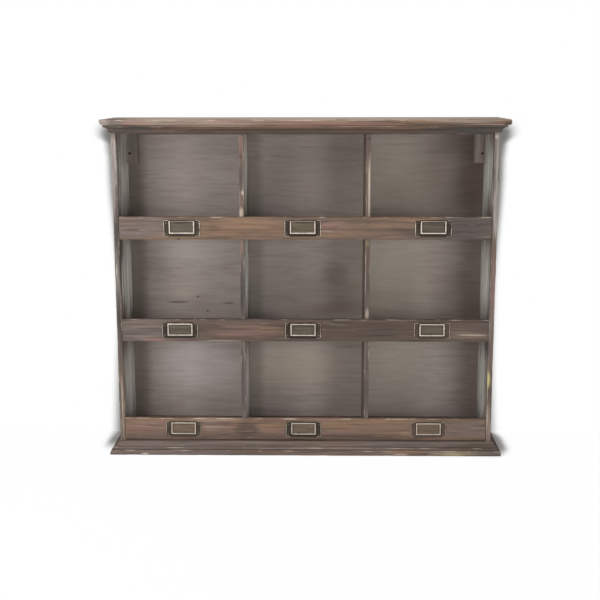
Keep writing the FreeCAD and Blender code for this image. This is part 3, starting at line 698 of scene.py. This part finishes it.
class MakeMouldings(CubbyPiece, bpy.types.Operator):
    """Make the mitred cove mouldings under the cap and over the base"""

    bl_idname = "cubby.make_mouldings"
    bl_label = "Mouldings"

    ARC_STEPS = 6
    RADIUS = 8 * MM
    LIP = 3 * MM
    ARRIS = 0.8 * MM
    ON_PLANE = 1e-6
    TURNS = {
        "front": Matrix(((0, 1, 0), (-1, 0, 0), (0, 0, 1))),
        "left": Matrix(((-1, 0, 0), (0, 1, 0), (0, 0, 1))),
        "right": Matrix(((1, 0, 0), (0, 1, 0), (0, 0, 1))),
    }

    def section(self, depth, height, lip_on_top):
        """The section: x is out from the case, z is up."""
        board = new_board()
        foot = height - self.LIP - self.RADIUS
        start = board.verts.new((depth - self.RADIUS, 0, foot))
        spun = bmesh.ops.spin(
            board, geom=[start], cent=(depth, 0, foot), axis=(0, 1, 0),
            angle=math.pi / 2, steps=self.ARC_STEPS,
        )
        last = vertices_in(spun["geom_last"])[0]
        rest = [(depth, 0, height), (0, 0, height), (0, 0, 0), (depth - self.RADIUS, 0, 0)]
        chain = [last] + [board.verts.new(place) for place in rest] + [start]
        for one, other in zip(chain, chain[1:]):
            board.edges.new((one, other))
        bmesh.ops.contextual_create(board, geom=board.edges[:])
        if not lip_on_top:
            bmesh.ops.scale(board, vec=(1, 1, -1), verts=board.verts)
            bmesh.ops.translate(board, vec=(0, 0, height), verts=board.verts)
        return board

    def mitre(self, board, place, normal):
        """Cuts an end off along the corner and closes it."""
        normal = Vector(normal).normalized()
        bisect(board, place, normal, clear_inner=True, dist=self.ON_PLANE)
        bmesh.ops.holes_fill(board, edges=[edge for edge in board.edges if edge.is_boundary])

    def make(self):
        for place, prefix, front_tones, end_tones, wear, seed in (
            ("crown", "", ("sepia", "ochre", "sepia"), ("umber", "sepia", "soot"), 0.4, 4.1),
            ("base", "base_", ("umber", "mauve", "umber"), ("umber", "mauve", "soot"), 0.5, 5.2),
        ):
            stains = STAINS[f"{place}_moulding"]
            front = wood(f"{prefix}cove_wood", "x", front_tones, stains, wear=wear, seed=seed)
            side_name = f"{prefix}cove_side_wood"
            end = wood(side_name, "y", end_tones, wear=wear + 0.1, seed=seed + 0.5)
            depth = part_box("left_side")[0].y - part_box(f"{place}_moulding_front")[0].y
            for side in ("front", *SIDES):
                node = f"{place}_moulding_{side}"
                finish = front if side == "front" else end
                settle(self.strip(node, depth), node, finish)

    def strip(self, node, depth):
        """One worn length of moulding, in its place."""
        wear = bpy.context.scene.cubby_wear
        side = node.split("_")[-1]
        low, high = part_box(node)
        height = high.z - low.z
        run = high.x - low.x if side == "front" else high.y - low.y
        board = self.section(depth, height, node.startswith("crown"))
        thicken(board, board.faces[:], (0, run, 0))
        steps = round(run / wear.step)
        cut_at(board, Y, [run * step / steps for step in range(1, steps)])
        self.mitre(board, (0, depth, 0), (1, 1, 0))
        if side == "front":
            self.mitre(board, (0, run - depth, 0), (1, -1, 0))
        ease(
            board,
            lambda middle, line: abs(line.y) > ALONG and middle.x > depth - MM
            and MM < middle.z < height - MM,
            self.ARRIS,
        )
        weather(board, 2.0 + run)
        bmesh.ops.translate(board, vec=(-wear.skin, 0, 0), verts=board.verts)
        bmesh.ops.transform(board, matrix=self.TURNS[side].to_4x4(), verts=board.verts)
        corner = (high.x if side == "left" else low.x, high.y if side == "front" else low.y, low.z)
        bmesh.ops.translate(board, vec=corner, verts=board.verts)
        return board


class MakeSides(CubbyPiece, bpy.types.Operator):
    """Make the two sides, grooved for the shelves and stepped for the back"""

    bl_idname = "cubby.make_sides"
    bl_label = "Sides"

    def make(self):
        panel_low, panel_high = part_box("back_panel")
        for side in SIDES:
            node = f"{side}_side"
            low, high = worn_box(node)
            if side == "left":
                outward, outer, inner, step_x = -1, low.x, high.x, panel_low.x
            else:
                outward, outer, inner, step_x = 1, high.x, low.x, panel_high.x
            outline = (
                (outer, low.y), (outer, high.y), (step_x, high.y),
                (step_x, panel_low.y), (inner, panel_low.y), (inner, low.y),
            )
            board = prism([Vector((*corner, low.z)) for corner in outline], (0, 0, high.z - low.z))
            score(board, (Z,))
            for shelf in ("bottom_board", "lower_shelf", "upper_shelf"):
                self.groove(board, shelf, inner, outward)
            ease_front(board, low.y)
            weather(board, 5.0 * outward + 11)
            finish = wood(
                f"{node}_wood", "z", ("mauve", "umber", "soot"), STAINS[node], wear=0.55,
                seed=6.0 + outward, streaks=0.5,
            )
            settle(board, node, finish)

    def groove(self, board, shelf, inner, outward):
        """Houses the end of a shelf."""
        low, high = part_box(shelf)
        cut_at(board, Z, (low.z, high.z))
        cut_at(board, Y, (low.y,))
        floor = []
        for face in board.faces:
            place = face.calc_center_median()
            level = low.z < place.z < high.z and low.y < place.y
            if level and abs(place.x - inner) < MM / 10 and abs(face.normal.x) > ALONG:
                floor.append(face)
        thicken(board, floor, (outward * (max(high.x, -low.x) - abs(inner)), 0, 0))


class MakeDividers(CubbyPiece, bpy.types.Operator):
    """Make the dividers, notched round the lips and the top rail"""

    bl_idname = "cubby.make_dividers"
    bl_label = "Dividers"

    def make(self):
        rail_low, rail_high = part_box("top_rail")
        for side in SIDES:
            finish = wood(
                f"divider_{side}_wood", "z", ("umber", "mauve", "umber"),
                STAINS[f"divider_{side}"], wear=0.6, seed=9.0 if side == "left" else 12.0,
            )
            for row, row_name in enumerate(ROWS):
                node = f"divider_{row_name}_{side}"
                low, high = worn_box(node)
                lip_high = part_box(f"lip_{row_name}")[1]
                if row_name == ROWS[-1]:
                    ceiling, shoulder = rail_low.z, rail_high.y
                else:
                    ceiling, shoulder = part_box(f"lip_{ROWS[row + 1]}")[0].z, lip_high.y
                outline = (
                    (lip_high.y, low.z), (high.y, low.z), (high.y, high.z), (shoulder, high.z),
                    (shoulder, ceiling), (low.y, ceiling), (low.y, lip_high.z),
                    (lip_high.y, lip_high.z),
                )
                corners = [Vector((low.x, *corner)) for corner in outline]
                board = prism(corners, (high.x - low.x, 0, 0))
                score(board, (Z,))
                ease_front(board, low.y)
                weather(board, 7.0 + row)
                settle(board, node, finish)


class MakeLips(CubbyPiece, bpy.types.Operator):
    """Make the rails across the front of each row, and the two strips"""

    bl_idname = "cubby.make_lips"
    bl_label = "Lips and Strips"

    FRONT = -52  # like the stains, in millimetres
    REACH = 8
    # How much painted shade and grime each row's windows get.
    WINDOW_SHADE_AND_GRIME = {"bottom": 0.45, "middle": 0.85, "top": 0.85}

    def window_shade_and_grime(self, row):
        """Painted shade and grime in the windows of the label holders, with a painted shadow under
        the top bar of each frame.
        """
        murk = self.WINDOW_SHADE_AND_GRIME[row]
        spots = []
        for column in COLUMNS:
            low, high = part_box(f"label_holder_{row}_{column}")
            middle = (low + high) / 2 / MM
            # The moss patch is painted shade and grime in the recess of the window, the dark line a
            # painted shadow under the top bar.
            spots.append((middle.x, middle.z + 1, 26, 13, "moss", murk))
            spots.append((middle.x, middle.z + 9.5, 24, 2.5, "dark", murk * 0.8))
        return self.FRONT, self.REACH, *spots

    def make(self):
        strips = (
            ("lip_top", ("umber", "ochre", "umber"), 1.0),
            ("lip_middle", ("umber", "sepia", "mauve"), 0.7),
            ("lip_bottom", ("umber", "ochre", "rose"), 1.1),
            ("top_rail", ("sepia", "dark", "sepia"), 0.3),
            ("base_rail", ("umber", "sepia", "soot"), 0.3),
        )
        for number, (node, tones, wear) in enumerate(strips):
            low, high = worn_box(node)
            stains = STAINS[node]
            is_lip = node.startswith("lip")
            if is_lip:
                stains += (self.window_shade_and_grime(node.removeprefix("lip_")),)
            board = slab(low, high)
            score(board, (X,))
            ease(
                board,
                lambda middle, line: abs(line.x) > ALONG and middle.y < low.y + MM
                and (is_lip or middle.z < high.z - MM),
            )
            if is_lip:
                fade_low_arris(board)
            weather(board, 13.0 + number)
            finish = wood(f"{node}_wood", "x", tones, stains, wear=wear, seed=14.0 + 1.7 * number)
            settle(board, node, finish)


class MakeLabelHolders(CubbyPiece, bpy.types.Operator):
    """Make the stamped label holders"""

    bl_idname = "cubby.make_label_holders"
    bl_label = "Label Holders"

    SHARP = 0.5
    SHEET = 0.6 * MM
    METAL = 0.5 * MM
    CORNER = 3 * MM
    BEAD = 0.75 * MM
    BEAD_RISE = 0.4 * MM
    FOOT = 4.5 * MM
    SHADE_AND_GRIME = 2 * MM
    FRAME_HALF = 21 * MM
    DULL = 0.45
    # The frame, ring by ring: width, rise over the plate, how rubbed (below 0: grime and painted
    # shadow)
    FRAME = (
        (0.05, 0.0, -0.4), (0.25, 1.5, 0.8), (0.5, 1.78, 1.0), (1.0, 1.78, 1.0), (0.5, 1.3, 0.5),
    )
    RUBBED = {"bottom": 0.75, "middle": 0.85, "top": 1.0}
    BROWNED = {"bottom_right": 0.6, "bottom_left": 0.25, "middle_right": 0.35}

    def make(self):
        for cell in CELLS:
            node = f"label_holder_{cell}"
            rubbed = self.RUBBED[cell.split("_")[0]]
            finish = brass(f"aged_brass_{cell}", rubbed, self.BROWNED.get(cell, 0.0))
            holder = self.stamp(*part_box(node))
            settle(holder, node, finish, "stamped", self.SHARP)

    def ring(self, holder, faces, width, y, rubbed):
        """Insets faces by a width and sets what is inside at a depth."""
        layer = holder.verts.layers.float[WEAR_LAYER]
        bmesh.ops.inset_region(
            holder, faces=faces, thickness=width, use_even_offset=True, use_boundary=True
        )
        for vertex in {vertex for face in faces for vertex in face.verts}:
            vertex.co.y = y
            vertex[layer] = rubbed

    def stamp(self, low, high):
        """One sheet: a beaded plate and a raised frame with a window. Wear below 0 is grime and
        painted shadow, which lie round the foot of the frame."""
        middle = (low.x + high.x) / 2
        plate_y = high.y - self.SHEET
        top = high.z - 2 * self.BEAD
        foot = low.z + self.FOOT
        holder = new_board()
        layer = holder.verts.layers.float[WEAR_LAYER]
        corners = [(low.x, low.z), (high.x, low.z), (high.x, high.z), (low.x, high.z)]
        holder.faces.new([holder.verts.new((x, plate_y, z)) for x, z in corners])
        bmesh.ops.bevel(
            holder, geom=holder.verts[:], offset=self.CORNER, segments=4, profile=0.5,
            affect="VERTICES", material=-1,
        )
        plate = holder.faces[:]
        self.ring(holder, plate, self.BEAD, plate_y - self.BEAD_RISE, 1.0)
        self.ring(holder, plate, self.BEAD, plate_y, 0.0)
        for half in (self.FRAME_HALF + self.SHADE_AND_GRIME, self.FRAME_HALF):
            cut_at(holder, X, (middle - half, middle + half))
        cut_at(holder, Z, (foot - self.SHADE_AND_GRIME, foot, top))
        for vertex in holder.verts:
            inward = abs(vertex.co.x - middle) < self.FRAME_HALF + self.SHADE_AND_GRIME / 2
            if inward and vertex[layer] > 0:
                vertex[layer] = self.DULL
        raised = [
            face for face in holder.faces
            if abs(face.calc_center_median().x - middle) < self.FRAME_HALF
            and foot < face.calc_center_median().z < top
        ]
        for vertex in {vertex for face in raised for vertex in face.verts}:
            vertex[layer] = -1.0
        for width, rise, rubbed in self.FRAME:
            self.ring(holder, raised, width * MM, plate_y - rise * MM, rubbed)
        bmesh.ops.delete(holder, geom=raised, context="FACES")
        if sum(face.normal.y * face.calc_area() for face in holder.faces) > 0:
            bmesh.ops.reverse_faces(holder, faces=holder.faces)
        bmesh.ops.solidify(holder, geom=holder.faces[:], thickness=self.METAL)
        return holder


def brass(name, wear=1.0, brown=0.0):
    """Dark antique brass, pale where hands have rubbed it; the near-white rubbed colour on the
    raised parts also stands as painted highlight.
    """
    colours = bpy.context.scene.cubby_colours
    finish = Finish(name)
    cloud = finish.noise((70,) * 3, 1.0)
    bloom = finish.step(finish.noise((28,) * 3, 7.0), 0.5, 0.68)
    colour = finish.mix(colours.bronze, colours.verdigris, bloom * 0.7)
    colour = finish.mix(colour, colours.umber, brown)
    colour = finish.shade(colour, 0.7 + cloud * 0.6)
    rubbed = finish.rubbed()
    fine = finish.noise((160,) * 3, 4.0)
    # Grime and painted shadow round the foot of the frame, where the wear is below 0.
    colour = finish.mix(colour, colours.dark, finish.step(rubbed, -0.1, -0.7) * 0.8)
    # Rubbed brass on the raised parts, partly painted highlight.
    bright = finish.step(rubbed * 0.6 + fine * 0.7, 0.66, 0.9) * wear
    colour = finish.mix(colour, colours.brass, bright)
    grit = finish.noise((600,) * 3, 2.0, detail=2)
    return finish.surface(colour, 0.55 - bright * 0.2, grit, METAL_RELIEF, 0.4)


class MakeLabelPins(CubbyPiece, bpy.types.Operator):
    """Make the small domed pins of the label holders"""

    bl_idname = "cubby.make_label_pins"
    bl_label = "Label Pins"

    RADIUS = 1.35 * MM
    FLATNESS = 0.62
    SEAT = 0.5 * MM
    SIDE_INSET = 4 * MM
    END_INSET = 4.8 * MM

    def make(self):
        pins = new_board()
        for cell in CELLS:
            low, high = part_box(f"label_holder_{cell}")
            for x in (low.x + self.SIDE_INSET, high.x - self.SIDE_INSET):
                for z in (low.z + self.END_INSET, high.z - self.END_INSET):
                    self.dome(pins, (x, high.y - self.SEAT, z))
        finish = brass("aged_brass_pins", 0.25)
        settle(pins, "label_pins", finish, "domed")

    def dome(self, pins, place):
        """The flattened head of one pin, rubbed at its crown."""
        layer = pins.verts.layers.float[WEAR_LAYER]
        ball = bmesh.ops.create_uvsphere(pins, u_segments=12, v_segments=6, radius=self.RADIUS)
        head = ball["verts"]
        bmesh.ops.scale(pins, vec=(1, self.FLATNESS, 1), verts=head)
        for vertex in head:
            vertex[layer] = max(0.0, -vertex.co.y / (self.FLATNESS * self.RADIUS))
        bmesh.ops.translate(pins, vec=place, verts=head)


class FinishPanelAndShelves(CubbyPiece, bpy.types.Operator):
    """Give the back panel, the shelves and the hanging blocks their wood"""

    bl_idname = "cubby.finish_panel_and_shelves"
    bl_label = "Panel and Shelves"

    def make(self):
        panel = wood(
            "panel_wood", "x", ("ply", "smoke", "ply"), STAINS["back_panel"], rings=0.05,
            streaks=0.05, wear=0, broken=0.5, seed=21, fine=3.0,
        )
        coat("back_panel", panel)
        shelf = wood("shelf_wood", "x", ("umber", "mauve", "tan"), seed=23, wear=0)
        for node in ("bottom_board", "lower_shelf", "upper_shelf"):
            coat(node, shelf)
        block = wood("block_wood", "z", ("smoke", "tan", "smoke"), seed=25, wear=0, rings=0.1)
        # Painted shade: the left hanging block gets a darker moss copy of the block wood, for the
        # shadow at the edge of the top left bay.
        shaded = wood(
            "block_wood_left_painted_shade", "z", ("moss", "umber", "moss"), STAINS["hanging_block_left"],
            seed=26, wear=0, rings=0.1,
        )
        coat("hanging_block_left", shaded)
        coat("hanging_block_right", block)


class FinishNails(CubbyPiece, bpy.types.Operator):
    """Give the nails their dull steel"""

    bl_idname = "cubby.finish_nails"
    bl_label = "Nails"

    def make(self):
        colours = bpy.context.scene.cubby_colours
        finish = Finish("nail_steel")
        rust = finish.step(finish.noise((400,) * 3, 3.0), 0.45, 0.65)
        colour = finish.mix(colours.steel, colours.umber, rust * 0.7)
        steel = finish.surface(colour, 0.6 + rust * 0.2, rust, METAL_RELIEF, 0.3)
        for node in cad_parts:
            if node.endswith("brads"):
                coat(node, steel)


class SetStage(CubbyPiece, bpy.types.Operator):
    """Set the floor, the backdrop, the lamps and the camera"""

    bl_idname = "cubby.set_stage"
    bl_label = "Stage"

    CAMERA_PLACE = (0.0243, -1.8705, 0.6131)
    PITCH = -10.84
    YAW = 1.02
    ROLL = -0.08
    FOCAL_MM = 67.13
    SENSOR_MM = 36
    AIM = Vector((0, 0, 0.28))
    FLOOR_REACH = 6.0
    WALL_REACH = 2.0
    WALL_GAP = 0.5 * MM
    HOLLOW_REACH = 0.06
    FLANK = 0.0255
    LESS_ON_THE_RIGHT = 0.006
    FLOOR_GLOW = 0.98
    FLOOR_SHADE = 0.9
    WALL_SHADE = 0.94
    # Heights between which a shadow of the wall changes
    SEAM = (0.0, 0.024)
    BASE = (0.03, 0.06)
    UPPER_HALF = (0.25, 0.47)
    CROWN = (0.514, 0.532)
    CAP = (0.562, 0.536)
    LOWER_HALF = (0.24, 0.12)

    def make(self):
        scene = bpy.context.scene
        scene.view_settings.view_transform = "Standard"
        self.set_camera(scene)
        self.set_world(scene)
        self.set_lamps(scene.cubby_light)
        self.set_floor()
        self.set_backdrop()

    def set_camera(self, scene):
        """The photo's camera, fitted to its edges."""
        camera = new_object("camera", bpy.data.cameras.new("camera"))
        camera.data.sensor_width = self.SENSOR_MM
        camera.data.lens = self.FOCAL_MM
        camera.data.clip_start = 0.05
        turn = Matrix()
        for axis, degrees in (("Z", self.YAW), ("X", 90 + self.PITCH), ("Z", self.ROLL)):
            turn = turn @ Matrix.Rotation(math.radians(degrees), 4, axis)
        camera.matrix_world = Matrix.Translation(self.CAMERA_PLACE) @ turn
        scene.camera = camera

    def set_world(self, scene):
        """White behind the stage, and a little light."""
        world = bpy.data.worlds.new("studio")
        scene.world = world
        world.use_nodes = True
        nodes, links = world.node_tree.nodes, world.node_tree.links
        nodes.clear()
        rays, level, background, output = (
            nodes.new(f"ShaderNode{kind}")
            for kind in ("LightPath", "MapRange", "Background", "OutputWorld")
        )
        level.inputs["To Min"].default_value = scene.cubby_light.room
        background.inputs["Color"].default_value = WHITE
        links.new(rays.outputs["Is Camera Ray"], level.inputs["Value"])
        links.new(level.outputs["Result"], background.inputs["Strength"])
        links.new(background.outputs["Background"], output.inputs["Surface"])

    def set_lamps(self, light):
        """Soft boxes, all turned to the middle of the case."""
        lamps = (
            ("soft_box_left", (-0.7, -0.72, 0.3), light.left_power),
            ("soft_box_right", (0.75, -0.72, 0.3), light.right_power),
            ("soft_box_far", (1.2, -1.9, 0.5), light.far_power),
            ("soft_box_high", (-0.6, -0.75, 1.05), light.high_power),
            ("soft_box_top", (0.05, -0.15, 1.55), light.top_power),
        )
        for name, place, watts in lamps:
            lamp = bpy.data.lights.new(name, "AREA")
            lamp.energy = watts
            lamp.size = light.box_size
            soft_box = new_object(name, lamp)
            aim = self.AIM - Vector(place)
            soft_box.rotation_euler = aim.to_track_quat("-Z", "Y").to_euler()
            soft_box.location = place

    def sheet(self, name, corners, material):
        """A flat sheet of the stage."""
        sheet = bmesh.new()
        sheet.faces.new([sheet.verts.new(corner) for corner in corners])
        stage = mesh_object(name, sheet, material)
        return stage

    def hollow(self, finish, limit, sharpness=1.0):
        """1 where the cubby closes a place in, and 0 where it is open."""
        openness = finish.add(
            "AmbientOcclusion", {"samples": 32}, {"Distance": self.HOLLOW_REACH}, "AO"
        )
        return finish.step((limit - openness) * sharpness, 0.03, 0.16)

    def flank(self, finish, away):
        """1 beside the case and 0 a little way off, sooner on the right."""
        across = finish.axis("x")
        outward = finish.sum("MAXIMUM", across + self.LESS_ON_THE_RIGHT, 0 - across) + away
        side = CAD_BOX[1].x
        return finish.step(outward, side + self.FLANK, side)

    def shadow(self, finish, share):
        """White paper, darker where it is shaded."""
        return finish.mix(WHITE, bpy.context.scene.cubby_colours.shade, share)

    def set_floor(self):
        """A white floor with the cubby's shadow."""
        finish = Finish("floor_paper")
        depth = finish.axis("y") + finish.axis("x") * 0.05
        beside = finish.step(depth, CAD_BOX[0].y, 0.0)
        shade = self.hollow(finish, 0.92) * beside
        foot = self.flank(finish, -0.002)
        foot = foot * finish.step(finish.axis("y"), 0.02, CAD_BOX[1].y - 0.014)
        colour = self.shadow(finish, finish.sum("MAXIMUM", shade, foot) * self.FLOOR_SHADE)
        paper = bpy.context.scene.cubby_colours.paper
        matt = finish.add("BsdfDiffuse", inputs={"Color": paper})
        glow = finish.add("Emission", inputs={"Color": colour})
        rays = finish.add("LightPath", output="Is Camera Ray")
        glossy = finish.add("LightPath", output="Is Glossy Ray")
        share = (rays + glossy) * self.FLOOR_GLOW
        finish.add_output(finish.add("MixShader", inputs={0: share, 1: matt, 2: glow}))
        far = self.FLOOR_REACH
        corners = ((-far, -far, 0), (far, -far, 0), (far, far, 0), (-far, far, 0))
        self.sheet("floor", corners, finish.material)

    def set_backdrop(self):
        """A white wall with the cubby's shadow, which only the camera sees, from the front."""
        finish = Finish("wall_paper")
        height = finish.axis("z")
        limit = 0.5 + finish.step(height, *self.BASE) * 0.27
        crown = finish.step(height, *self.CROWN)
        limit = limit + finish.step(height, *self.UPPER_HALF) * 0.1 + crown * 0.15
        shade = self.hollow(finish, limit, 1 - crown * 0.4) * finish.step(height, *self.CAP)
        shade = shade * finish.step(height, *self.SEAM)
        beside = self.flank(finish, height * 0.06) * finish.step(height, *self.LOWER_HALF)
        colour = self.shadow(finish, finish.sum("MAXIMUM", shade, beside) * self.WALL_SHADE)
        glow = finish.add("Emission", inputs={"Color": colour})
        clear = finish.add("BsdfTransparent")
        behind = finish.add("NewGeometry", output="Backfacing")
        finish.add_output(finish.add("MixShader", inputs={0: behind, 1: glow, 2: clear}))
        far = self.WALL_REACH
        y = CAD_BOX[1].y + self.WALL_GAP
        corners = ((-far, y, 0), (far, y, 0), (far, y, far), (-far, y, far))
        wall = self.sheet("backdrop", corners, finish.material)
        for rays in ("diffuse", "glossy", "transmission", "volume_scatter", "shadow"):
            setattr(wall, f"visible_{rays}", False)


OPERATORS = (
    SetStage, MakeCapAndBase, MakeMouldings, MakeSides, MakeDividers, MakeLips,
    MakeLabelHolders, MakeLabelPins, FinishPanelAndShelves, FinishNails,
)


class CubbyPanel(bpy.types.Panel):
    """The cubby's sizes, colours and pieces"""

    bl_idname = "VIEW3D_PT_cubby"
    bl_label = "Wall Cubby"
    bl_space_type = "VIEW_3D"
    bl_region_type = "UI"
    bl_category = "Cubby"

    def draw(self, context):
        for group_name in GROUPS:
            group = getattr(context.scene, group_name)
            box = self.layout.box()
            for name in group.__annotations__:
                box.prop(group, name)
        for operator in OPERATORS:
            self.layout.operator(operator.bl_idname)


GROUPS = {"cubby_wear": CubbyWear, "cubby_colours": CubbyColours, "cubby_light": CubbyLight}


def register():
    """Adds the properties, the operators and the panel."""
    for name, group in GROUPS.items():
        bpy.utils.register_class(group)
        setattr(bpy.types.Scene, name, PointerProperty(type=group))
    for part in (*OPERATORS, CubbyPanel):
        bpy.utils.register_class(part)


def unregister():
    """Takes them away again."""
    for part in reversed((*OPERATORS, CubbyPanel)):
        bpy.utils.unregister_class(part)
    for name, group in GROUPS.items():
        delattr(bpy.types.Scene, name)
        bpy.utils.unregister_class(group)


def main():
    """Makes every piece, in order."""
    register()
    for operator in OPERATORS:
        group, name = operator.bl_idname.split(".")
        getattr(getattr(bpy.ops, group), name)()


if __name__ == "__main__":
    main()
